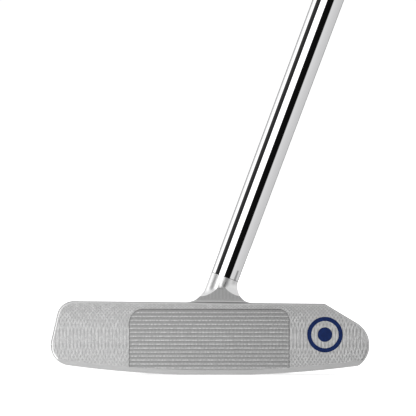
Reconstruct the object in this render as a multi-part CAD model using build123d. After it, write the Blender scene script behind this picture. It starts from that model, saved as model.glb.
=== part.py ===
from build123d import *
import os
from math import asin, atan2, cos, degrees, hypot, pi, radians, sin, sqrt, tan

# A right-handed, centre-shafted mallet putter, in millimetres.
#
# The origin is where the shaft's centreline meets the ground, on the flat of the sole.
# +X runs to the heel, where the golfer stands, +Y from the face to the back, and +Z up.
# Distances "along the shaft" are measured from the origin up its leaning centreline.

# ---- Whole club ------------------------------------------------------------------------
club_length = 864.0          # along the shaft, ground to the end of the grip cap
lean_angle = 20.5            # shaft from vertical, towards the heel: a lie of 69.5 degrees
loft_angle = 3.0             # the face leans back

# ---- Head outline, seen square on the face ---------------------------------------------
head_length = 112.6          # toe to heel
toe_reach = 48.6             # from the shaft's ground point to the toe's furthest point
top_line_height = 25.55      # top line over the ground, above the origin
top_line_fall = 0.6          # degrees the top line drops towards the heel
toe_slant = 13.0             # degrees the toe edge leans in from vertical
toe_low_radius = 7.2
toe_high_radius = 5.8
heel_slant = 31.0            # degrees the heel cut falls below horizontal
heel_cut_radius = 1.2        # where the top line turns into the heel cut
heel_radius = 9.0            # the heel's big round
heel_round_height = 10.5     # centre of the heel's big round over the ground
heel_low_radius = 2.6        # the small corner between heel and sole

# ---- Sole --------------------------------------------------------------------------------
sole_radius = 385.0          # heel-to-toe camber
sole_centre = 9.5            # X of the camber's lowest point
sole_flat_sink = 0.2         # the camber is milled flat this far up, for a strip to rest on
lead_bevel_height = 2.05     # bevel under the face, up the face
lead_bevel_depth = 2.6       # and back along the sole

# ---- Face bar: the upright part of the head ---------------------------------------------
neck_front_cut = 0.17        # how deep the milled front cuts into the neck's round stem
neck_back_gap = 0.05         # milled back of the neck, clear of the round stem
front_ledge = 1.5            # top line in front of the milled neck
back_ledge = 0.85            # top line behind it
edge_round = 0.8             # rounding of the bar's edges

# ---- Face milling ------------------------------------------------------------------------
zone_toe = 20.9              # grooved zone, from the shaft's ground point towards the toe
zone_heel = 35.8             # and towards the heel
zone_top = 2.25              # the zone's top edge, under the top line
zone_sink = 0.25
zone_toe_radius = 5.0
zone_heel_radius = 4.0
groove_count = 15
groove_pitch = 1.4
groove_width = 0.7
groove_depth = 0.3
groove_inset = 0.75          # plain border between the grooves and the zone's edge
groove_start = 0.6           # first groove's centre, under the zone's top edge

# ---- Face mark: a paint-filled ring and dot -----------------------------------------------
mark_from_heel = 15.7        # mark's centre, in from the heel's furthest point
mark_height = 14.2
mark_radius = 6.3
mark_line = 1.5
mark_dot_radius = 2.6
paint_recess = 0.3           # depth of every painted recess
paint_low = 0.05             # paint dries this far under the surface

# ---- Neck and shaft post -------------------------------------------------------------------
neck_height_ratio = 1.8      # height over the top line of the shoulder where the tube butts, in tip radii
pedestal_height = 2.2        # the neck's foot, as wide as the two rounds below let it be
pedestal_side = 0.4          # pedestal's sides, clear of the round stem
pedestal_toe_round = 6.6
pedestal_heel_round = 5.2
neck_flare = 3.5             # round between the stem and the pedestal
neck_mill_top = 5.9          # the milled front of the neck ends this far over the top line
cutter_nose = 1.0            # corner radius that the cutter leaves at the top of the milled front
foot_round = 0.9             # and at its foot, on the ledge
ledge_skim = 0.08            # the cut's foot, under the top line, so that it leaves the ledge clean
post_length = 25.0
post_chamfer = 0.6

# ---- Flange: the low half-moon behind the bar -----------------------------------------------
flange_back = 44.0           # from the shaft's centreline to the back of the flange
flange_radius = 49.5
flange_height = 8.0          # rim and rib over the ground
flange_draft = 14.0          # degrees the rim's outside leans in towards the sole
rim_width = 5.0
rib_width = 12.0             # middle rib that carries the sight line
pocket_floor = 4.3           # floor of the two pockets over the ground
pocket_radius = 4.0
pocket_gap = 4.0             # plain floor between the bar's back wall and the pockets
sight_width = 1.8
sight_end_gap = 4.0          # sight line short of the flange's back, and of the bar

# ---- Cavity in the back of the bar ----------------------------------------------------------
cavity_side = 16.0           # solid metal left at the toe and at the heel
cavity_top = 5.0             # solid metal left under the top line
cavity_depth = 4.6
cavity_radius = 4.0

# ---- Sole weights -----------------------------------------------------------------------------
weight_spread = 50.0         # between the two weights' centres
weight_back = 22.5           # their centres, behind the shaft's centreline
weight_disc_radius = 6.5
weight_disc_height = 2.6
weight_stud_radius = 4.0
weight_stud_length = 3.4
weight_clearance = 0.1       # disc in its counterbore
stud_clearance = 0.05        # stud in its tapped hole, thread left plain
stud_end_gap = 0.4           # air over the stud's end
weight_key = 4.0             # hexagon socket, across flats
weight_key_depth = 2.2
weight_sink = 0.2            # disc under the sole, so that it never touches the ground
seal_height = 0.4
pad_wall = 3.0               # boss wall round the counterbore
pad_roof = 1.6               # boss roof over the tapped hole

# ---- Sole mark: a paint-filled ring -------------------------------------------------------------
sole_mark_back = 8.0         # its centre, behind the shaft's centreline
sole_mark_radius = 4.0
sole_mark_line = 1.0

# ---- Shaft ----------------------------------------------------------------------------------------
tip_radius = 5.0
butt_radius = 7.3
shaft_wall = 0.5
tip_bore_length = 30.0       # parallel bore that takes the post
bond_thickness = 0.1         # epoxy film on the post
bond_end_gap = 1.0           # bare post over the film

# ---- Grip, tape, cap and band ------------------------------------------------------------------------
grip_length = 263.0
cap_height = 5.0
cap_round = 2.0
vent_radius = 1.75           # vent hole in the cap
tape_thickness = 0.15
tape_end_gap = 6.0           # tape ends inside the grip's mouth
grip_front_wall = 2.0        # rubber over the tape at the mouth, on the flat front
grip_side_wall = 2.6
grip_under_wall = 3.2
grip_front_growth = 0.9      # extra rubber at the cap end, on the flat front
grip_side_growth = 2.4
grip_under_growth = 7.0
grip_front_flat = 2.2        # cut off the oval section to make the flat front
grip_corner = 3.0            # rounding between the flat front and the sides
grip_waist = 0.55            # where along the grip the middle section lies
grip_waist_share = 0.3       # share of the growth that the middle section has
band_length = 40.0
band_thickness = 0.08
band_gap = 25.0              # bare shaft between the band and the grip's mouth

lean = radians(lean_angle)
face_lean = radians(loft_angle)
fall = radians(top_line_fall)


# ---- Places that the pieces share -----------------------------------------------------------------
def shaft_plane(along):
    """Plane square to the shaft, its Z up the shaft and its Y to the back."""
    x_dir = (cos(lean), 0, -sin(lean))
    return Plane((along * sin(lean), 0, along * cos(lean)), x_dir=x_dir, z_dir=(sin(lean), 0, cos(lean)))


def face_plane(set_back=0.0):
    """Plane of the face, moved back into the head by set_back: X to the heel, Y up, Z out of the face."""
    out = Vector(0, -cos(face_lean), sin(face_lean))
    on_neck = Vector(0, neck_front_cut - tip_radius, top_line_height + neck_mill_top)
    return Plane(on_neck + out * (front_ledge - set_back), x_dir=(1, 0, 0), z_dir=out)


def face_height(height):
    """A height over the ground, measured up the face plane from that plane's own origin."""
    return (height - face_plane().origin.Z) / cos(face_lean)


def top_height(x):
    return top_line_height - x * tan(fall)


def sole_height(x):
    """Height of the cambered sole over the ground."""
    return max(0.0, sole_radius - sole_flat_sink - sqrt(sole_radius**2 - (x - sole_centre) ** 2))


def shaft_radius(along):
    taper = (butt_radius - tip_radius) / (shaft_end - shoulder_height)
    return tip_radius + (along - shoulder_height) * taper


sole_axis = (sole_centre, sole_radius - sole_flat_sink)
shoulder_height = (top_line_height + neck_height_ratio * tip_radius) / cos(lean)
neck_back = tip_radius + neck_back_gap
bar_back = neck_back + back_ledge
heel_reach = head_length - toe_reach
shaft_end = club_length - cap_height
grip_mouth = shaft_end - grip_length
post_radius = tip_radius - shaft_wall - bond_thickness
bore_height = weight_disc_height + seal_height
stud_top = bore_height + weight_stud_length
pad_radius = weight_disc_radius + weight_clearance + pad_wall
pad_height = stud_top + stud_end_gap + pad_roof
tape_start = grip_mouth + tape_end_gap
band_end = grip_mouth - band_gap
far = 4 * head_length        # reach of the tools that trim
near = 0.05                  # an edge this close to a place is at that place
same_way = 0.9999            # two directions whose product is over this are one


def block_in_front(plane):
    """Everything on the plane's outer side."""
    return extrude(plane * Rectangle(2 * far, 2 * far), far)


# ---- Head ---------------------------------------------------------------------------------------------
def circles_meet(centre_a, radius_a, centre_b, radius_b):
    """Of the two points that lie on both circles, the one nearer the heel."""
    across, up = centre_b[0] - centre_a[0], centre_b[1] - centre_a[1]
    apart = hypot(across, up)
    along = (radius_a**2 - radius_b**2 + apart**2) / (2 * apart)
    aside = sqrt(radius_a**2 - along**2)
    points = []
    for side in (aside, -aside):
        x = centre_a[0] + (along * across - side * up) / apart
        z = centre_a[1] + (along * up + side * across) / apart
        points.append((x, z))
    return max(points)


def arc_between(centre, radius, start, end):
    """The short arc about a centre from one point to another."""
    start_angle = degrees(atan2(start[1] - centre[1], start[0] - centre[0]))
    end_angle = degrees(atan2(end[1] - centre[1], end[0] - centre[0]))
    return CenterArc(centre, radius, start_angle, (end_angle - start_angle + 180) % 360 - 180)


def head_outline():
    """The head seen square on: X to the right, height up."""
    flat_half = sqrt(sole_radius**2 - sole_axis[1] ** 2)
    flat_toe, flat_heel = (sole_centre - flat_half, 0), (sole_centre + flat_half, 0)

    # toe edge: a slanting line that touches the low toe round
    slant = radians(toe_slant)
    round_x = toe_low_radius - toe_reach
    reach = sole_radius - toe_low_radius
    round_z = sole_axis[1] - sqrt(reach**2 - (round_x - sole_centre) ** 2)
    touch = (round_x - toe_low_radius * cos(slant), round_z + toe_low_radius * sin(slant))
    high_run = (top_height(touch[0]) - touch[1]) / (cos(slant) + sin(slant) * tan(fall))
    toe_high = (touch[0] + high_run * sin(slant), touch[1] + high_run * cos(slant))
    beyond = hypot(touch[0] - sole_axis[0], touch[1] - sole_axis[1])
    inward = (touch[0] - sole_axis[0]) * sin(slant) + (touch[1] - sole_axis[1]) * cos(slant)
    low_run = inward + sqrt(sole_radius**2 - beyond**2 + inward**2)
    toe_low = (touch[0] - low_run * sin(slant), touch[1] - low_run * cos(slant))

    # heel: a straight cut that touches the big round, then the round down to the sole
    cut = radians(heel_slant)
    heel_centre = (heel_reach - heel_radius, heel_round_height)
    heel_touch = (heel_centre[0] + heel_radius * sin(cut), heel_centre[1] + heel_radius * cos(cut))
    cut_run = (top_height(heel_touch[0]) - heel_touch[1]) / (sin(cut) - cos(cut) * tan(fall))
    heel_high = (heel_touch[0] - cut_run * cos(cut), heel_touch[1] + cut_run * sin(cut))
    heel_low = circles_meet(sole_axis, sole_radius, heel_centre, heel_radius)

    outline = make_face(
        [
            Line(flat_toe, flat_heel),
            arc_between(sole_axis, sole_radius, flat_heel, heel_low),
            arc_between(heel_centre, heel_radius, heel_low, heel_touch),
            Line(heel_touch, heel_high),
            Line(heel_high, toe_high),
            Line(toe_high, toe_low),
            arc_between(sole_axis, sole_radius, toe_low, flat_toe),
        ]
    )
    corners = [
        (toe_low, toe_low_radius),
        (toe_high, toe_high_radius),
        (heel_high, heel_cut_radius),
        (heel_low, heel_low_radius),
    ]
    for corner, radius in corners:
        nearest = outline.vertices().sort_by_distance((*corner, 0))[0]
        outline = fillet(nearest, radius)
    return outline


def lead_bevel():
    """Ring-shaped wedge that bevels the edge between face and sole, following the camber."""
    front = face_plane().origin.Y - face_plane().origin.Z * tan(face_lean)
    edge = sole_radius
    wedge = Polyline(
        (front - edge_round, edge - lead_bevel_height - lead_bevel_height / lead_bevel_depth * edge_round),
        (front + lead_bevel_depth, edge),
        (front + lead_bevel_depth, edge + lead_bevel_height),
        (front - edge_round, edge + lead_bevel_height),
        close=True,
    )
    about = Plane((sole_axis[0], 0, sole_axis[1]), x_dir=(0, 1, 0), z_dir=(1, 0, 0))
    profile = about * Rot(180, 0, 0) * make_face(wedge)
    turn = 2 * degrees(asin(head_length / sole_radius))
    axis = Axis((sole_axis[0], 0, sole_axis[1]), (0, 1, 0))
    return revolve(profile.rotate(axis, -turn / 2), axis, turn)


def over_sole(edge):
    """How far an edge's middle is over the cambered sole."""
    return edge.center().Z - sole_height(edge.center().X)


def face_bar():
    """The upright bar: outline, face, bevel and rounded edges."""
    depth = bar_back - face_plane().origin.Y + head_length / 4
    bar = extrude(Plane.XZ.offset(-bar_back) * head_outline(), depth) - block_in_front(face_plane())
    bar -= lead_bevel()
    out = face_plane().z_dir
    face = bar.faces().filter_by(lambda f: f.normal_at().dot(out) > same_way).sort_by(SortBy.AREA)[-1]
    back = bar.faces().filter_by(Plane.XZ).sort_by(Axis.Y)[-1]
    rounded = [e for e in face.edges() if over_sole(e) > 1.5 * lead_bevel_height]
    rounded += [e for e in back.edges() if over_sole(e) > edge_round]
    return fillet(rounded, edge_round)


def neck_profile():
    """Front view of the neck over the top line: a leaning strip with a round at each side of its foot."""
    reach = head_length / 4
    toe_top, heel_top = (-reach, top_height(-reach)), (reach, top_height(reach))
    below = make_face(Polyline(toe_top, heel_top, (reach, -reach), (-reach, -reach), close=True))
    strip = Pos(0, shoulder_height / 2) * Rectangle(2 * (tip_radius + pedestal_side), shoulder_height)
    profile = below + Rot(0, 0, -lean_angle) * strip
    foot = (top_line_height * tan(lean), top_line_height, 0)
    toe_corner, heel_corner = profile.vertices().sort_by_distance(foot)[:2].sort_by(Axis.X)
    profile = fillet(heel_corner, pedestal_heel_round)
    toe_corner = profile.vertices().sort_by_distance(toe_corner.center())[0]
    return fillet(toe_corner, pedestal_toe_round) - below


def neck():
    """Neck and post: a leaning round stem that flares onto a pedestal, milled flat in front and behind."""
    slab_top = top_line_height + pedestal_height
    slab = Box(far, far, slab_top, align=(Align.CENTER, Align.CENTER, Align.MIN))
    stem = extrude(shaft_plane(shoulder_height) * Circle(tip_radius), -shoulder_height / 2)
    flared = slab + stem
    level = flared.edges().filter_by(lambda e: abs(e.center().Z - slab_top) < near)
    seam = level.sort_by(Edge.length)[0]
    solid = fillet(seam, neck_flare) & extrude(Plane.XZ * neck_profile(), far / 4, both=True)

    # the cutter runs along the top line and leaves its corner radius at both sides of its cut
    cut = neck_mill_top / cos(face_lean) + ledge_skim
    along_top = face_plane(front_ledge) * Rot(0, 0, -top_line_fall)
    milled = extrude(along_top * Pos(0, -cut / 2) * Rectangle(far, cut), far)
    inner = milled.faces().sort_by(Axis.Y)[-1]
    low_edge, high_edge = inner.edges().sort_by(Edge.length)[-2:].sort_by(Axis.Z)
    milled = fillet(low_edge, foot_round)
    milled = fillet(milled.edges().sort_by_distance(high_edge.center())[0], cutter_nose)
    behind = extrude(Plane.XZ.offset(-neck_back) * Rectangle(far, far), -far)
    post = extrude(shaft_plane(shoulder_height) * Circle(post_radius), post_length)
    post = chamfer(post.edges().sort_by(Axis.Z)[-1], post_chamfer)
    return solid - block_in_front(face_plane(edge_round)) - milled - behind + post


def sole_side():
    """Everything over the cambered sole and its flat."""
    camber = extrude(Plane.XZ * Pos(*sole_axis) * Circle(sole_radius), far, both=True)
    return camber & Pos(0, 0, far) * Box(2 * far, 2 * far, 2 * far)


def weight_places():
    """Plane at the outer face of each sole weight, Z up into the head, toe weight first."""
    spots = {"toe": sole_centre - weight_spread / 2, "heel": sole_centre + weight_spread / 2}
    return {name: Plane((x, weight_back, sole_height(x) + weight_sink)) for name, x in spots.items()}


def flange():
    """Half-moon flange with a rim, a middle rib, two pockets and a boss over each sole weight."""
    centre = Pos(sole_centre, flange_back - flange_radius)
    outline = Plane.XY.offset(flange_height) * centre * Circle(flange_radius)
    solid = extrude(outline, -2 * flange_height, taper=flange_draft)
    solid &= Pos(0, far + neck_back, 0) * Box(2 * far, 2 * far, 2 * far)
    top_rim = solid.faces().sort_by(Axis.Z)[-1].edges().filter_by(GeomType.CIRCLE)
    solid = fillet(top_rim, edge_round)
    room = centre * Circle(flange_radius - rim_width)
    room &= Pos(sole_centre, bar_back + pocket_gap + far) * Rectangle(2 * far, 2 * far)
    room -= Pos(sole_centre, 0) * Rectangle(rib_width, 2 * far)
    for pocket in room.faces():
        solid -= extrude(Plane.XY.offset(pocket_floor) * fillet(pocket.vertices(), pocket_radius), far)
    for place in weight_places().values():
        boss = extrude(place * Circle(pad_radius), pad_height)
        solid += fillet(boss.edges().sort_by(Axis.Z)[-1], edge_round)
    return solid & sole_side()


def cavity():
    """Pocket milled into the back of the bar, over the flange."""
    low, high = flange_height, top_line_height - cavity_top
    toe, heel = cavity_side - toe_reach, heel_reach - cavity_side - heel_radius
    middle = Pos((toe + heel) / 2, (low + high) / 2)
    opening = middle * RectangleRounded(heel - toe, high - low, cavity_radius)
    return extrude(Plane.XZ.offset(-bar_back) * opening, cavity_depth)


def grooved_zone():
    """Shallow pocket in the face that runs out over the bevel, with straight grooves across its floor."""
    middle, width = (zone_heel - zone_toe) / 2, zone_heel + zone_toe
    top = face_height(top_line_height - zone_top)
    drop = top_line_height
    sheet = Pos(middle, top - drop / 2) * Rectangle(width, drop)
    high_corners = sheet.vertices().group_by(Axis.Y)[-1].sort_by(Axis.X)
    sheet = fillet(high_corners[0], zone_toe_radius)
    sheet = fillet(sheet.vertices().sort_by_distance((zone_heel, top, 0))[0], zone_heel_radius)
    tool = extrude(face_plane() * sheet, -zone_sink)
    first = top - groove_start
    groove = Rectangle(width - 2 * groove_inset, groove_width)
    grooves = [Pos(middle, first - i * groove_pitch) * groove for i in range(groove_count)]
    return tool + extrude(face_plane(zone_sink) * (Sketch() + grooves), -groove_depth)


def ring(radius, line):
    return Circle(radius) - Circle(radius - line)


def paint_fill(plane, sketch):
    """The recess that a painted line needs, and the paint that lies in it, a little under the surface."""
    recess = extrude(plane * sketch, -paint_recess)
    paint = extrude(plane.offset(-paint_low) * sketch, paint_low - paint_recess)
    return recess, paint


def painted_marks():
    """Every painted mark on the head by name, as its recess and its paint."""
    face_spot = face_plane() * Pos(heel_reach - mark_from_heel, face_height(mark_height))
    sole_spot = Plane((0, sole_mark_back, 0), x_dir=(1, 0, 0), z_dir=(0, 0, -1)) * Pos(sole_centre, 0)
    sight_start, sight_stop = bar_back + sight_end_gap, flange_back - sight_end_gap
    sight_spot = Plane.XY.offset(flange_height) * Pos(sole_centre, (sight_start + sight_stop) / 2)
    return {
        "face_mark_ring": paint_fill(Plane(face_spot), ring(mark_radius, mark_line)),
        "face_mark_dot": paint_fill(Plane(face_spot), Circle(mark_dot_radius)),
        "sight_line": paint_fill(Plane(sight_spot), Rectangle(sight_width, sight_stop - sight_start)),
        "sole_mark_ring": paint_fill(Plane(sole_spot), ring(sole_mark_radius, sole_mark_line)),
    }


def weight_bore(place):
    """Counterbore for the disc and its seal, then the tapped hole for the stud."""
    bore = extrude(place.offset(-far) * Circle(weight_disc_radius + weight_clearance), far + bore_height)
    return bore + extrude(place * Circle(weight_stud_radius + stud_clearance), stud_top + stud_end_gap)


def sole_weight(place):
    """Disc with a stud and a hexagon socket."""
    disc = extrude(place * Circle(weight_disc_radius), weight_disc_height)
    disc = chamfer(disc.edges().filter_by(GeomType.CIRCLE).sort_by(Axis.Z)[0], weight_sink)
    stud = extrude(place * Circle(weight_stud_radius), stud_top)
    key = RegularPolygon(weight_key / 2, 6, major_radius=False)
    return disc + stud - extrude(place * key, weight_key_depth)


def weight_seal(place):
    """Flat washer between the disc and the floor of its counterbore."""
    washer = Circle(weight_disc_radius) - Circle(weight_stud_radius + stud_clearance)
    return extrude(place.offset(weight_disc_height) * washer, seal_height)


def putter_head(marks):
    """The milled head with its neck and post, and every pocket, groove, recess and bore in it."""
    solid = face_bar() + neck() + flange()
    solid -= cavity()
    solid -= grooved_zone()
    for recess, _ in marks.values():
        solid -= recess
    for place in weight_places().values():
        solid -= weight_bore(place)
    return solid


# ---- Shaft and what is on it ----------------------------------------------------------------------------
def turned(*points):
    """Solid turned about the shaft's centreline from a profile of (distance along, radius) points."""
    profile = make_face(Polyline(*[(radius, along) for along, radius in points], close=True))
    about = shaft_plane(0)
    side = Plane(about.origin, x_dir=about.x_dir, z_dir=about.x_dir.cross(about.z_dir))
    return revolve(side * profile, Axis(about.origin, about.z_dir))


def sleeve(start, end, under, thickness):
    """Thin tapered sleeve on the shaft, from one distance along it to another, over a layer under it."""
    inner = [(along, shaft_radius(along) + under) for along in (start, end)]
    outer = [(along, radius + thickness) for along, radius in reversed(inner)]
    return turned(*inner, *outer)


def shaft():
    """Tapered tube that slips over the post and butts on the neck."""
    bore = tip_radius - shaft_wall
    bore_end = shoulder_height + tip_bore_length
    return turned(
        (shoulder_height, bore),
        (shoulder_height, tip_radius),
        (shaft_end, butt_radius),
        (shaft_end, butt_radius - shaft_wall),
        (bore_end, bore),
    )


def shaft_bond():
    end = shoulder_height + post_length - post_chamfer - bond_end_gap
    return turned(
        (shoulder_height, post_radius),
        (shoulder_height, post_radius + bond_thickness),
        (end, post_radius + bond_thickness),
        (end, post_radius),
    )


def grip_section(along, growth):
    """Section of the grip square to the shaft: an oval with a flat front, its corners rounded.
    The front faces up and away from the golfer, which is the section's own -X."""
    core = shaft_radius(along) + tape_thickness
    front = core + grip_front_wall + growth * grip_front_growth
    side = core + grip_side_wall + growth * grip_side_growth
    under = core + grip_under_wall + growth * grip_under_growth
    half_depth = (front + grip_front_flat + under) / 2
    oval = Pos(under - half_depth, 0) * Ellipse(half_depth, side)
    section = oval & Pos(far - front, 0) * Rectangle(2 * far, 2 * far)
    return shaft_plane(along) * fillet(section.vertices(), grip_corner)


def grip():
    """Rubber sleeve, loft of three sections, with a bore that fits over the tape."""
    waist = grip_mouth + grip_waist * grip_length
    places = ((grip_mouth, 0), (waist, grip_waist_share), (shaft_end, 1))
    sections = [grip_section(along, growth) for along, growth in places]
    core = turned(
        (grip_mouth, 0),
        (grip_mouth, shaft_radius(grip_mouth) + tape_thickness),
        (shaft_end, shaft_radius(shaft_end) + tape_thickness),
        (shaft_end, 0),
    )
    return loft(sections) - core


def grip_cap():
    """Cap on the end of the grip, its edge rounded, with a vent hole down the middle."""
    cap = extrude(grip_section(shaft_end, 1), cap_height)
    top = shaft_plane(club_length)
    rim = [e for e in cap.edges() if top.to_local_coords(e.center()).Z > -near]
    cap = fillet(rim, cap_round)
    return cap - extrude(shaft_plane(shaft_end) * Circle(vent_radius), cap_height)


# ---- Every piece, by node name -----------------------------------------------------------------
marks = painted_marks()
pieces = {
    "head": putter_head(marks),
    "shaft_bond": shaft_bond(),
    "shaft": shaft(),
    "shaft_band": sleeve(band_end - band_length, band_end, 0, band_thickness),
    "grip_tape": sleeve(tape_start, shaft_end, 0, tape_thickness),
    "grip": grip(),
    "grip_cap": grip_cap(),
}
for name, (_, paint) in marks.items():
    pieces[name] = paint
for end, place in weight_places().items():
    pieces[end + "_sole_weight"] = sole_weight(place)
    pieces[end + "_weight_seal"] = weight_seal(place)

os.makedirs("parts", exist_ok=True)
for name, piece in pieces.items():
    piece.label = name
    export_step(piece, f"parts/{name}.step")
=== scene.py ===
from math import cos, pi, radians, sin, tau

import bmesh
import bpy
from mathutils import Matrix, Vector
from mathutils.bvhtree import BVHTree


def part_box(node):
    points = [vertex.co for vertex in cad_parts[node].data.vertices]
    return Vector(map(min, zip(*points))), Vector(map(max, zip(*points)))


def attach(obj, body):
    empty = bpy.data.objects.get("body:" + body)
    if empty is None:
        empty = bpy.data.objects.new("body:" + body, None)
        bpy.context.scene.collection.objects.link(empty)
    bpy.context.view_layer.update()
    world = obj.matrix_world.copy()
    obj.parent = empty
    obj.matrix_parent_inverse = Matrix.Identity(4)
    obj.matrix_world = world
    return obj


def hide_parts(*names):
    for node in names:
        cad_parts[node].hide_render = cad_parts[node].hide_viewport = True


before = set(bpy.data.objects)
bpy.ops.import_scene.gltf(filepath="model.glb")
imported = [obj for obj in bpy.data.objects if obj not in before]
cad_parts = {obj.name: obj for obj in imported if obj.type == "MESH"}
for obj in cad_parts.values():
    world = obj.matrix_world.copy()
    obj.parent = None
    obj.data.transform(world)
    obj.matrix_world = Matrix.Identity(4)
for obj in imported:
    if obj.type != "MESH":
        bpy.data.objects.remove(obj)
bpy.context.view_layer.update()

# ---- Camera --------------------------------------------------------------------------------
# Square on the face and level with the neck, from so far away that hardly anything tapers.
# The frame is 147 mm wide at the club: the whole head, and the lowest 100 mm of the shaft.
frame_width, camera_distance = 0.14715, 4.0
aim_side, aim_height = 0.0070, 0.0589
lens = bpy.data.cameras.new("camera")
lens.sensor_width = 36.0
lens.lens = lens.sensor_width * camera_distance / frame_width
lens.clip_end = 200.0
camera = bpy.data.objects.new("camera", lens)
camera.location = (aim_side, -camera_distance, aim_height)
camera.rotation_euler = (radians(90), 0, 0)
bpy.context.scene.collection.objects.link(camera)
bpy.context.scene.camera = camera
bpy.context.scene.view_settings.view_transform = "Standard"


# ---- Studio light --------------------------------------------------------------------------
# Tall soft boxes with black flags between them stand round the club, in line with its leaning shaft.
# They are drawn in the world's light by their direction from the club: the polished tube shows them as
# stripes. White panels close the room over and under them.
def plug(tree, made, inputs):
    """Feeds a node's inputs, by name or identifier, with values or with other nodes' outputs."""
    for place, value in inputs.items():
        socket = next((s for s in made.inputs if s.identifier == place), None) or made.inputs[place]
        if isinstance(value, bpy.types.NodeSocket):
            tree.links.new(value, socket)
        else:
            socket.default_value = value


def add(tree, kind, inputs=None, **settings):
    """One more node in a tree."""
    made = tree.nodes.new(kind)
    for name, value in settings.items():
        setattr(made, name, value)
    plug(tree, made, inputs or {})
    return made


def sums(tree, operation, *values):
    """The result of one sum on numbers or outputs."""
    return add(tree, "ShaderNodeMath", dict(enumerate(values)), operation=operation).outputs[0]


def along(tree, vector, direction):
    """How far a vector reaches in a direction."""
    reach = add(tree, "ShaderNodeVectorMath", {0: vector, 1: direction}, operation="DOT_PRODUCT")
    return reach.outputs["Value"]


def rising(tree, value, start, end, low=0.0, high=1.0):
    """Goes smoothly from low to high as a value goes from start to end."""
    inputs = {"Value": value, "From Min": start, "From Max": end, "To Min": low, "To Max": high}
    return add(tree, "ShaderNodeMapRange", inputs, interpolation_type="SMOOTHSTEP").outputs["Result"]


def blend(tree, share, a, b):
    """Goes from colour a to colour b."""
    inputs = {"Factor_Float": share, "A_Color": a, "B_Color": b}
    return add(tree, "ShaderNodeMix", inputs, data_type="RGBA").outputs[2]


def shades(tree, value, stops):
    """A grey for each place between 0 and 1."""
    ramp = add(tree, "ShaderNodeValToRGB", {"Fac": value})
    for i, (place, level) in enumerate(stops):
        stop = ramp.color_ramp.elements[i] if i < 2 else ramp.color_ramp.elements.new(place)
        stop.position = place
        stop.color = (level, level, level, 1)
    return ramp.outputs["Color"]


lean = radians(20.5)
up_shaft = Vector((sin(lean), 0, cos(lean)))
across_shaft = Vector((cos(lean), 0, -sin(lean)))
to_front = Vector((0, -1, 0))

world = bpy.data.worlds.new("studio")
world.use_nodes = True
bpy.context.scene.world = world
tree = world.node_tree
tree.nodes.clear()
direction = add(tree, "ShaderNodeTexCoord").outputs["Generated"]
turn = sums(tree, "ARCTAN2", along(tree, direction, across_shaft), along(tree, direction, to_front))
round_club = sums(tree, "DIVIDE", sums(tree, "ADD", turn, pi), tau)

# degrees round the shaft, from behind it over the toe, the front and the heel, and how bright it is there
stripes = [
    (-180, 0.42), (-167, 0.42), (-164, 0.03), (-150, 0.05), (-146, 0.24), (-125, 0.31), (-121, 0.50),
    (-95, 0.50), (-90, 0.020), (-54, 0.0054), (-48, 0.80), (-9, 0.80), (-5, 0.0023), (42, 0.0014),
    (46, 0.28), (90, 0.2475), (140, 0.22), (148, 0.21), (152, 0.04), (164, 0.03), (167, 0.42), (180, 0.42),
]
boxes = shades(tree, round_club, [((angle + 180) / 360, level) for angle, level in stripes])

# the room's end panels, from straight down the shaft, 0, to straight up it, 1
height = along(tree, direction, up_shaft)
panel_levels = [
    (0.0, 0.36), (0.12, 0.36), (0.2, 0.04), (0.36, 0.06), (0.44, 0.3), (0.56, 0.4), (0.68, 0.3),
    (0.78, 0.25), (1.0, 0.25),
]
panels = shades(tree, sums(tree, "MULTIPLY_ADD", height, 0.5, 0.5), panel_levels)
over_boxes = rising(tree, height, 0.14, 0.34)
under_boxes = rising(tree, height, -0.55, -0.75, 0.0, 0.6)
boxes_end = sums(tree, "MAXIMUM", over_boxes, under_boxes)
room = blend(tree, boxes_end, boxes, panels)
light = add(tree, "ShaderNodeBackground", {"Color": room, "Strength": 3.0})
backdrop = add(tree, "ShaderNodeBackground", {"Color": (1, 1, 1, 1), "Strength": 1.05})
seen = add(tree, "ShaderNodeLightPath").outputs["Is Camera Ray"]
either = add(tree, "ShaderNodeMixShader", {"Fac": seen, 1: light.outputs[0], 2: backdrop.outputs[0]})
add(tree, "ShaderNodeOutputWorld", {"Surface": either.outputs[0]})


# ---- Floor ---------------------------------------------------------------------------------
# A white acrylic light table, lit from below, so that it runs into the white behind it.
# It lies a hair under the sole, and is clear from below, so that the sole shows from there.
def new_material(name):
    """A material with its node tree, its shader, and the place on the object."""
    material = bpy.data.materials.new(name)
    material.use_nodes = True
    tree = material.node_tree
    place = add(tree, "ShaderNodeTexCoord").outputs["Object"]
    return material, tree, tree.nodes["Principled BSDF"], place


def grey(tree, level):
    """A neutral colour."""
    return add(tree, "ShaderNodeCombineColor", {0: level, 1: level, 2: level}).outputs[0]


table_half, table_gap = 12.0, 0.0001
bm = bmesh.new()
bmesh.ops.create_grid(bm, x_segments=1, y_segments=1, size=table_half)
bmesh.ops.translate(bm, verts=bm.verts, vec=(0, 0, -table_gap))
mesh = bpy.data.meshes.new("floor")
bm.to_mesh(mesh)
bm.free()
floor = bpy.data.objects.new("floor", mesh)
bpy.context.scene.collection.objects.link(floor)
floor.visible_glossy = False
acrylic, tree, shader, place = new_material("white_acrylic")
cloudy = add(tree, "ShaderNodeTexNoise", {"Vector": place, "Scale": 3.0, "Detail": 2.0}).outputs["Fac"]
plug(tree, shader, {
    "Base Color": grey(tree, rising(tree, cloudy, 0.3, 0.7, 0.88, 0.92)),
    "Roughness": 0.9,
    "Emission Color": (1, 1, 1, 1),
    "Emission Strength": 0.6,
})
under = add(tree, "ShaderNodeNewGeometry").outputs["Backfacing"]
clear = add(tree, "ShaderNodeBsdfTransparent").outputs[0]
one_way = add(tree, "ShaderNodeMixShader", {"Fac": under, 1: shader.outputs[0], 2: clear})
plug(tree, tree.nodes["Material Output"], {"Surface": one_way.outputs[0]})
mesh.materials.append(acrylic)


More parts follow.
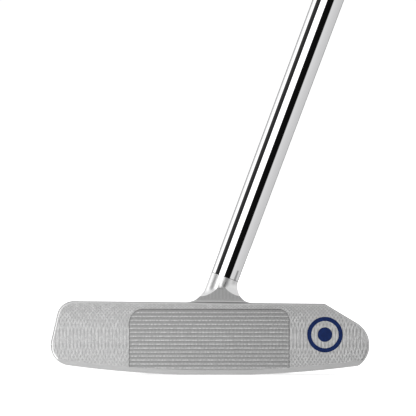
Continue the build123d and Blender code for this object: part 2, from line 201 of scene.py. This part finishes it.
# ---- Head ----------------------------------------------------------------------------------
# One block of steel, fly-cut all over to a satin finish, with a polished neck.
# The cutter's arcs cross over the face. The grooved zone is milled finer; it is darker partly by its finish
# and partly by painted shade from its grooves, and the grooves hold painted shade.
def new_effect(name, takes, gives):
    """A node group that several materials can use: its tree, and what it is given."""
    tree = bpy.data.node_groups.new(name, "ShaderNodeTree")
    for socket, kind in takes.items():
        tree.interface.new_socket(socket, in_out="INPUT", socket_type="NodeSocket" + kind)
    tree.interface.new_socket(gives, in_out="OUTPUT", socket_type="NodeSocketFloat")
    return tree, tree.nodes.new("NodeGroupInput").outputs


# the arcs that a turning cutter leaves as it goes, with both its front and its back edge
fly_cut, given = new_effect(
    "fly_cut", {"Across": "Float", "Height": "Float", "Radius": "Float", "Pitch": "Float"}, "Marks")
radius_squared = sums(fly_cut, "MULTIPLY", given["Radius"], given["Radius"])
height_squared = sums(fly_cut, "MULTIPLY", given["Height"], given["Height"])
across_squared = sums(fly_cut, "MAXIMUM", sums(fly_cut, "SUBTRACT", radius_squared, height_squared), 0.0)
bow = sums(fly_cut, "SQRT", across_squared)
arcs = []
for way in ("ADD", "SUBTRACT"):
    arc_number = sums(fly_cut, "DIVIDE", sums(fly_cut, way, given["Across"], bow), given["Pitch"])
    arcs.append(sums(fly_cut, "SINE", sums(fly_cut, "MULTIPLY", arc_number, tau)))
higher = sums(fly_cut, "MAXIMUM", *arcs)
add(fly_cut, "NodeGroupOutput", {"Marks": sums(fly_cut, "MULTIPLY_ADD", higher, 0.5, 0.5)})

grain, given = new_effect("grain", {"Place": "Vector", "Scale": "Float"}, "Value")
fine = {"Vector": given["Place"], "Scale": given["Scale"], "Detail": 4.0, "Roughness": 0.6}
add(grain, "NodeGroupOutput", {"Value": add(grain, "ShaderNodeTexNoise", fine).outputs["Fac"]})

lightened_edge, given = new_effect("lightened_edge", {"Radius": "Float"}, "Edge")
eased = add(lightened_edge, "ShaderNodeBevel", {"Radius": given["Radius"]}, samples=4).outputs["Normal"]
flat = add(lightened_edge, "ShaderNodeNewGeometry").outputs["Normal"]
add(lightened_edge, "NodeGroupOutput", {"Edge": rising(lightened_edge, along(lightened_edge, eased, flat), 0.995, 0.80)})


def arcs_of(tree, across, height, radius, pitch):
    """Light and dark where the cutter's arcs are."""
    inputs = {"Across": across, "Height": height, "Radius": radius, "Pitch": pitch}
    return add(tree, "ShaderNodeGroup", inputs, node_tree=fly_cut).outputs["Marks"]


def grain_of(tree, place, scale):
    """Grain with about this many grains to the metre."""
    return add(tree, "ShaderNodeGroup", {"Place": place, "Scale": scale}, node_tree=grain).outputs["Value"]


def edge_of(tree, radius):
    """1 on edges, to this far from the corner, where the steel is drawn lighter."""
    return add(tree, "ShaderNodeGroup", {"Radius": radius}, node_tree=lightened_edge).outputs["Edge"]


def combined(tree, *masks):
    """All of these multiplied, so 1 only where each of them is."""
    shared = masks[0]
    for mask in masks[1:]:
        shared = sums(tree, "MULTIPLY", shared, mask)
    return shared


def outside(tree, mask):
    """Where a mask is 0."""
    return sums(tree, "SUBTRACT", 1.0, mask)


def raise_skin(tree, shader, height, strength, depth):
    """Lets the surface rise and fall a little with a value."""
    bump = add(tree, "ShaderNodeBump", {"Height": height, "Strength": strength, "Distance": depth})
    plug(tree, shader, {"Normal": bump.outputs["Normal"]})


def wear(material, *names):
    """These CAD pieces get the material and nothing else."""
    for name in names:
        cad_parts[name].data.materials.clear()
        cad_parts[name].data.materials.append(material)


loft = radians(3)
out_of_face = Vector((0, -cos(loft), sin(loft)))
face_reach = 0.0079327      # the face plane, from the shaft's ground point
face_middle = 0.0128        # the arcs on the face are centred on this height
face_sweep, face_feed = 0.0140, 0.00125
flat_middle = 0.018         # and those on the level faces on this depth
flat_sweep, flat_feed = 0.033, 0.0013
neck_foot = 0.0262          # the steel is polished over this height
top_lip, lip_pitch = 0.0206, 0.001398

steel, tree, shader, place = new_material("milled_steel")
facing = add(tree, "ShaderNodeNewGeometry").outputs["Normal"]
forward = along(tree, facing, out_of_face)
x, y, z = (along(tree, place, axis) for axis in ((1, 0, 0), (0, 1, 0), (0, 0, 1)))

# the zone lies 0.25 mm under the face, its grooves 0.55 mm, and the milled front of the neck 1.5 mm
depth = sums(tree, "SUBTRACT", face_reach, along(tree, place, out_of_face))
on_front = sums(tree, "GREATER_THAN", forward, 0.97)
in_zone = combined(tree, on_front, rising(tree, depth, 0.00012, 0.00018))
in_groove = combined(tree, on_front, rising(tree, depth, 0.00035, 0.00045))
neck_front = combined(tree, on_front, rising(tree, depth, 0.0013, 0.0014))
polished = combined(tree, sums(tree, "GREATER_THAN", z, neck_foot), outside(tree, neck_front))

# the cutter bit deeper and less evenly towards the heel, and finer in the zone
arcs = arcs_of(tree, x, sums(tree, "SUBTRACT", z, face_middle), face_sweep, face_feed)
bite = rising(tree, x, -0.02, 0.05, 0.95, 1.60)
patches = rising(tree, grain_of(tree, place, 800.0), 0.40, 0.60, 0.65, 1.35)
finer = sums(tree, "MULTIPLY_ADD", in_zone, -0.6, 1.0)
bitten = sums(tree, "MULTIPLY_ADD", sums(tree, "SUBTRACT", arcs, 0.7), bite, 0.7)
crossed = combined(tree, bitten, on_front, finer, patches)

# level faces have wide arcs, and the rest fine straight lines along the bar
level_arcs = arcs_of(tree, x, sums(tree, "SUBTRACT", y, flat_middle), flat_sweep, flat_feed)
upward = along(tree, facing, (0, 0, 1))
on_level = sums(tree, "GREATER_THAN", sums(tree, "ABSOLUTE", upward), 0.93)
passes = combined(tree, level_arcs, on_level, outside(tree, polished))
drawn_out = add(tree, "ShaderNodeVectorMath", {0: place, 1: (0.06, 1.0, 1.0)}, operation="MULTIPLY")
lines = grain_of(tree, drawn_out.outputs[0], 2200.0)
speckle = grain_of(tree, place, 1500.0)
brushed = combined(tree, sums(tree, "SUBTRACT", lines, 0.5), outside(tree, on_front))

# a painted highlight: a bright, broken line along the lip of each groove
groove_turn = sums(tree, "DIVIDE", sums(tree, "SUBTRACT", z, top_lip), lip_pitch)
swing = sums(tree, "COSINE", sums(tree, "MULTIPLY", groove_turn, tau))
lip = sums(tree, "POWER", sums(tree, "MULTIPLY_ADD", swing, 0.5, 0.5), 9.0)
broken = rising(tree, speckle, 0.40, 0.60, 0.5, 1.5)
lip_highlights = combined(tree, sums(tree, "SUBTRACT", in_zone, neck_front), lip, broken)

corner = add(tree, "ShaderNodeAmbientOcclusion", {"Distance": 0.0007}, samples=4).outputs["AO"]
shadowed = combined(tree, rising(tree, corner, 0.98, 0.74), sums(tree, "SUBTRACT", on_front, in_groove))
# painted highlight on the rounded rims round the face
rim_highlight = combined(tree, rising(tree, forward, 0.985, 0.93), rising(tree, forward, 0.70, 0.80))
near_top_line = rising(tree, z, 0.016, 0.025)
# painted reflection of the pale floor: faces turned down are drawn lighter
floor_lit_underside = rising(tree, upward, -0.15, -0.30)

# how much lighter or darker each of these makes the steel, as a share
changes = (
    (near_top_line, -0.09),
    (crossed, 0.27),
    (passes, 0.12),
    (sums(tree, "SUBTRACT", speckle, 0.5), 0.12),
    (brushed, 0.35),
    # the zone's darker finish, and painted shade from its grooves
    (in_zone, -0.16),
    # painted highlight along the groove lips
    (lip_highlights, 0.54),
    (neck_front, 0.16),
    # painted shade in the grooves
    (in_groove, -0.10),
    (shadowed, -0.50),
    # painted highlight on the rims
    (rim_highlight, 0.50),
    (edge_of(tree, 0.00015), 0.08),
    # painted floor reflection on faces turned down
    (floor_lit_underside, 0.19),
)
level = rising(tree, x, -0.045, 0.055, 0.560, 0.440)
for mask, change in changes:
    level = sums(tree, "MULTIPLY", level, sums(tree, "MULTIPLY_ADD", mask, change, 1.0))
level = sums(tree, "MAXIMUM", level, sums(tree, "MULTIPLY", polished, 0.90))
smoothed = sums(tree, "MULTIPLY", polished, 0.03)
plug(tree, shader, {
    "Base Color": grey(tree, level),
    "Metallic": 1.0,
    "Roughness": sums(tree, "SUBTRACT", 0.42, smoothed),
})
scratches = sums(tree, "MULTIPLY_ADD", lines, 0.3, sums(tree, "MULTIPLY_ADD", speckle, 0.3, passes))
ridges = combined(tree, crossed, outside(tree, in_groove))
raise_skin(tree, shader, sums(tree, "ADD", scratches, ridges), 0.5, 0.00003)
wear(steel, "head")

# ---- Marks ---------------------------------------------------------------------------------
# Navy enamel, filled into shallow recesses: the ring and dot on the face, the sight line, the sole ring.
# It pools a little darker in places.
enamel, tree, shader, place = new_material("navy_paint")
pools = rising(tree, grain_of(tree, place, 700.0), 0.3, 0.7)
plug(tree, shader, {
    "Base Color": blend(tree, pools, (0.0003, 0.009, 0.060, 1), (0.0010, 0.015, 0.092, 1)),
    "Roughness": 0.5,
    "Specular IOR Level": 0.15,
})
wear(enamel, "face_mark_ring", "face_mark_dot", "sight_line", "sole_mark_ring")


# ---- Shaft ---------------------------------------------------------------------------------
# A stepless chromed tube, polished bright. It is turned finely here so that its stripes run straight.
# It butts on the neck's shoulder, over the post, and its end is broken by a small chamfer.
def lathe(name, profile, segments=192):
    """A ring-shaped piece round the shaft, from (radius, distance up the shaft) points in a closed loop."""
    bm = bmesh.new()
    turns = [tau * i / segments for i in range(segments)]
    spokes = [across_shaft * cos(turn) - to_front * sin(turn) for turn in turns]
    rings = []
    for radius, rise in profile:
        rings.append([bm.verts.new(up_shaft * rise + spoke * radius) for spoke in spokes])
    for ring, following in zip(rings, rings[1:] + rings[:1]):
        for i in range(segments):
            j = (i + 1) % segments
            bm.faces.new((ring[i], ring[j], following[j], following[i]))
    bmesh.ops.recalc_face_normals(bm, faces=bm.faces)
    mesh = bpy.data.meshes.new(name)
    bm.to_mesh(mesh)
    bm.free()
    mesh.shade_smooth()
    mesh.set_sharp_from_angle(angle=radians(25))
    made = bpy.data.objects.new(name, mesh)
    bpy.context.scene.collection.objects.link(made)
    return made


shoulder, shaft_end = 0.0368860, 0.859
tip, butt, wall, break_edge = 0.0050, 0.0073, 0.0005, 0.00012
steps = 12
mouth = [(tip - wall, shoulder), (tip - break_edge, shoulder), (tip, shoulder + break_edge)]
shares = [i / steps for i in range(1, steps + 1)]
taper = [(tip + (butt - tip) * share, shoulder + (shaft_end - shoulder) * share) for share in shares]
shaft = lathe("chromed_shaft", mouth + taper + [(butt - wall, shaft_end)])
chrome, tree, shader, place = new_material("chromed_steel")
haze = grain_of(tree, place, 60.0)
clean = rising(tree, haze, 0.35, 0.65, 0.79, 0.81)
cool = sums(tree, "MULTIPLY", clean, 1.01)
plug(tree, shader, {
    "Base Color": add(tree, "ShaderNodeCombineColor", {0: clean, 1: clean, 2: cool}).outputs[0],
    "Roughness": rising(tree, haze, 0.3, 0.7, 0.02, 0.05),
    "Metallic": 1.0,
})
shaft.data.materials.append(chrome)
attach(shaft, "root")
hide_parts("shaft")

# ---- Sole weights and their seals ----------------------------------------------------------
# Turned steel discs with a hexagon key, faced on a lathe: fine rings run round each centre.
# A black rubber washer lies under each.
feed = 0.00025
turned, tree, shader, place = new_material("weight_steel")
from_centres = []
for name in ("toe_sole_weight", "heel_sole_weight"):
    low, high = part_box(name)
    centre = (low + high) / 2
    shifted = add(tree, "ShaderNodeVectorMath", {0: place, 1: (-centre.x, -centre.y, 0)}, operation="ADD")
    level_only = {0: shifted.outputs[0], 1: (1, 1, 0)}
    flattened = add(tree, "ShaderNodeVectorMath", level_only, operation="MULTIPLY")
    length = add(tree, "ShaderNodeVectorMath", {0: flattened.outputs[0]}, operation="LENGTH")
    from_centres.append(length.outputs["Value"])
rings = sums(tree, "SINE", sums(tree, "MULTIPLY", sums(tree, "MINIMUM", *from_centres), tau / feed))
grit = rising(tree, grain_of(tree, place, 900.0), 0.3, 0.7, 0.50, 0.58)
bright = sums(tree, "MULTIPLY", edge_of(tree, 0.0002), 0.12)
plug(tree, shader, {
    "Base Color": grey(tree, sums(tree, "ADD", grit, bright)),
    "Metallic": 1.0,
    "Roughness": 0.3,
})
raise_skin(tree, shader, rings, 0.3, 0.00001)
wear(turned, "toe_sole_weight", "heel_sole_weight")

rubber, tree, shader, place = new_material("seal_rubber")
plug(tree, shader, {
    "Base Color": blend(
        tree, grain_of(tree, place, 1200.0), (0.010, 0.010, 0.011, 1), (0.022, 0.022, 0.023, 1)),
    "Roughness": 0.75,
})
wear(rubber, "toe_weight_seal", "heel_weight_seal")

# ---- Epoxy ---------------------------------------------------------------------------------
# The film of glue between the post and the tube, honey coloured and cloudy.
# A hair-thin dark bead lies round the joint.
epoxy, tree, shader, place = new_material("epoxy")
plug(tree, shader, {
    "Base Color": blend(tree, grain_of(tree, place, 400.0), (0.52, 0.44, 0.28, 1), (0.68, 0.60, 0.42, 1)),
    "Roughness": 0.3,
})
wear(epoxy, "shaft_bond")

bead_inside, bead_outside = 0.00470, 0.00502
bead_low, bead_high = shoulder - 0.00003, shoulder + 0.00010
bead = lathe("epoxy_bead", [
    (bead_inside, bead_low), (bead_outside, bead_low), (bead_outside, bead_high), (bead_inside, bead_high)])
bead_dark, tree, shader, place = new_material("joint_dark_bead")
plug(tree, shader, {
    "Base Color": blend(
        tree, grain_of(tree, place, 2000.0), (0.012, 0.012, 0.013, 1), (0.06, 0.06, 0.06, 1)),
    "Roughness": 0.6,
})
bead.data.materials.append(bead_dark)
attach(bead, "root")

# ---- Shaft band ----------------------------------------------------------------------------
# A blank band of navy film below the grip.
# A thin silver line is printed near each of its ends.
band_start, band_end, line_inset, line_width = 0.531, 0.571, 0.003, 0.0008
film, tree, shader, place = new_material("band_film")
rise = along(tree, place, up_shaft)
silver = 0.0
for middle in (band_start + line_inset, band_end - line_inset):
    off = sums(tree, "ABSOLUTE", sums(tree, "SUBTRACT", rise, middle))
    silver = sums(tree, "ADD", silver, sums(tree, "LESS_THAN", off, line_width / 2))
mottle = grain_of(tree, place, 300.0)
navy = blend(tree, mottle, (0.004, 0.012, 0.07, 1), (0.007, 0.018, 0.09, 1))
plug(tree, shader, {
    "Base Color": blend(tree, silver, navy, (0.55, 0.55, 0.56, 1)),
    "Roughness": rising(tree, mottle, 0.3, 0.7, 0.18, 0.28),
})
wear(film, "shaft_band")

# ---- Grip tape -----------------------------------------------------------------------------
# Crepe paper tape under the grip, sticky on both sides.
# Its creases run round the shaft, drawn as lighter and darker bands of colour: painted shade.
tape, tree, shader, place = new_material("grip_tape")
up_only = add(tree, "ShaderNodeCombineXYZ", {0: along(tree, place, up_shaft)}).outputs[0]
creping = {"Vector": up_only, "Scale": 400.0, "Distortion": 4.0, "Detail": 2.0}
creases = add(tree, "ShaderNodeTexWave", creping).outputs["Fac"]
plug(tree, shader, {
    "Base Color": blend(tree, creases, (0.58, 0.54, 0.44, 1), (0.70, 0.66, 0.55, 1)),
    "Roughness": 0.85,
})
wear(tape, "grip_tape")

# ---- Grip and cap --------------------------------------------------------------------------
# Black moulded rubber, matt, and rubbed a little smoother where it has been held. The cap is plain.
# Low oval pads cover the grip in staggered rows, and stand 0.25 mm proud, with a plain border at both ends.
moulded, tree, shader, place = new_material("grip_rubber")
grit = grain_of(tree, place, 1400.0)
held = grain_of(tree, place, 25.0)
dark = blend(tree, grit, (0.008, 0.008, 0.009, 1), (0.018, 0.018, 0.019, 1))
plug(tree, shader, {
    "Base Color": blend(tree, rising(tree, held, 0.4, 0.8, 0.0, 0.5), dark, (0.030, 0.030, 0.031, 1)),
    "Roughness": rising(tree, held, 0.3, 0.7, 0.70, 0.55),
})
raise_skin(tree, shader, grit, 0.4, 0.00004)
wear(moulded, "grip")

capping, tree, shader, place = new_material("cap_rubber")
plug(tree, shader, {
    "Base Color": blend(
        tree, grain_of(tree, place, 1400.0), (0.009, 0.009, 0.010, 1), (0.020, 0.020, 0.021, 1)),
    "Roughness": 0.5,
})
wear(capping, "grip_cap")

pads = bpy.data.node_groups.new("grip_pads", "GeometryNodeTree")
kinds = {
    "Spots": "Geometry", "Pad Size": "Vector", "Seed": "Int", "Unevenness": "Float", "Rubber": "Material"}
sockets = {}
for name, kind in kinds.items():
    sockets[name] = pads.interface.new_socket(name, in_out="INPUT", socket_type="NodeSocket" + kind)
pads.interface.new_socket("Pads", in_out="OUTPUT", socket_type="NodeSocketGeometry")
given = add(pads, "NodeGroupInput").outputs
pad = add(pads, "GeometryNodeMeshUVSphere", {"Segments": 8, "Rings": 5, "Radius": 0.5}).outputs["Mesh"]
normal = add(pads, "GeometryNodeInputNamedAttribute", {"Name": "out"}, data_type="FLOAT_VECTOR").outputs[0]
stand = add(pads, "FunctionNodeAlignRotationToVector", {"Vector": normal}, axis="Z").outputs[0]
lengthways = {"Rotation": stand, "Vector": tuple(up_shaft)}
laid = add(pads, "FunctionNodeAlignRotationToVector", lengthways, axis="X", pivot_axis="Z").outputs[0]
limits = {"Min": (-1.0, -1.0, -1.0), "Max": (1.0, 1.0, 1.0), "Seed": given["Seed"]}
uneven = add(pads, "FunctionNodeRandomValue", limits, data_type="FLOAT_VECTOR").outputs[0]
little = {0: uneven, "Scale": given["Unevenness"]}
spread = add(pads, "ShaderNodeVectorMath", little, operation="SCALE").outputs[0]
change = add(pads, "ShaderNodeVectorMath", {0: spread, 1: (1.0, 1.0, 1.0)}, operation="ADD").outputs[0]
size = add(pads, "ShaderNodeVectorMath", {0: given["Pad Size"], 1: change}, operation="MULTIPLY").outputs[0]
set_out = {"Points": given["Spots"], "Instance": pad, "Rotation": laid, "Scale": size}
placed = add(pads, "GeometryNodeInstanceOnPoints", set_out).outputs[0]
solid = add(pads, "GeometryNodeRealizeInstances", {"Geometry": placed}).outputs[0]
finished = add(pads, "GeometryNodeSetMaterial", {"Geometry": solid, "Material": given["Rubber"]}).outputs[0]
add(pads, "NodeGroupOutput", {"Pads": finished})

# each pad sits where a spoke from the shaft's centreline leaves the rubber
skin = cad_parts["grip"].data
surface = BVHTree.FromPolygons([v.co for v in skin.vertices], [f.vertices for f in skin.polygons])
rows, columns, first_row, row_gap, clear_of_grip = 72, 26, 0.6045, 0.00340, 0.04
spots, outward = [], []
for row in range(rows):
    for column in range(columns):
        turn = tau * (column + row % 2 / 2) / columns
        spoke = across_shaft * cos(turn) - to_front * sin(turn)
        start = up_shaft * (first_row + row * row_gap) + spoke * clear_of_grip
        spot, out, _, _ = surface.ray_cast(start, -spoke)
        spots.append(spot)
        outward.append(out)
mesh = bpy.data.meshes.new("pad_spots")
mesh.from_pydata(spots, [], [])
outs = mesh.attributes.new("out", "FLOAT_VECTOR", "POINT")
outs.data.foreach_set("vector", [number for out in outward for number in out])
marker = bpy.data.objects.new("pad_spots", mesh)
bpy.context.scene.collection.objects.link(marker)
modifier = marker.modifiers.new("pads", "NODES")
modifier.node_group = pads
values = {"Pad Size": (0.0026, 0.0017, 0.0006), "Seed": 7, "Unevenness": 0.06, "Rubber": moulded}
for name, value in values.items():
    modifier[sockets[name].identifier] = value
evaluated = marker.evaluated_get(bpy.context.evaluated_depsgraph_get())
mesh = bpy.data.meshes.new_from_object(evaluated)
marker.modifiers.remove(modifier)
bpy.data.objects.remove(marker)
mesh.shade_smooth()
grip_pads = bpy.data.objects.new("grip_pads", mesh)
bpy.context.scene.collection.objects.link(grip_pads)
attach(grip_pads, "root")
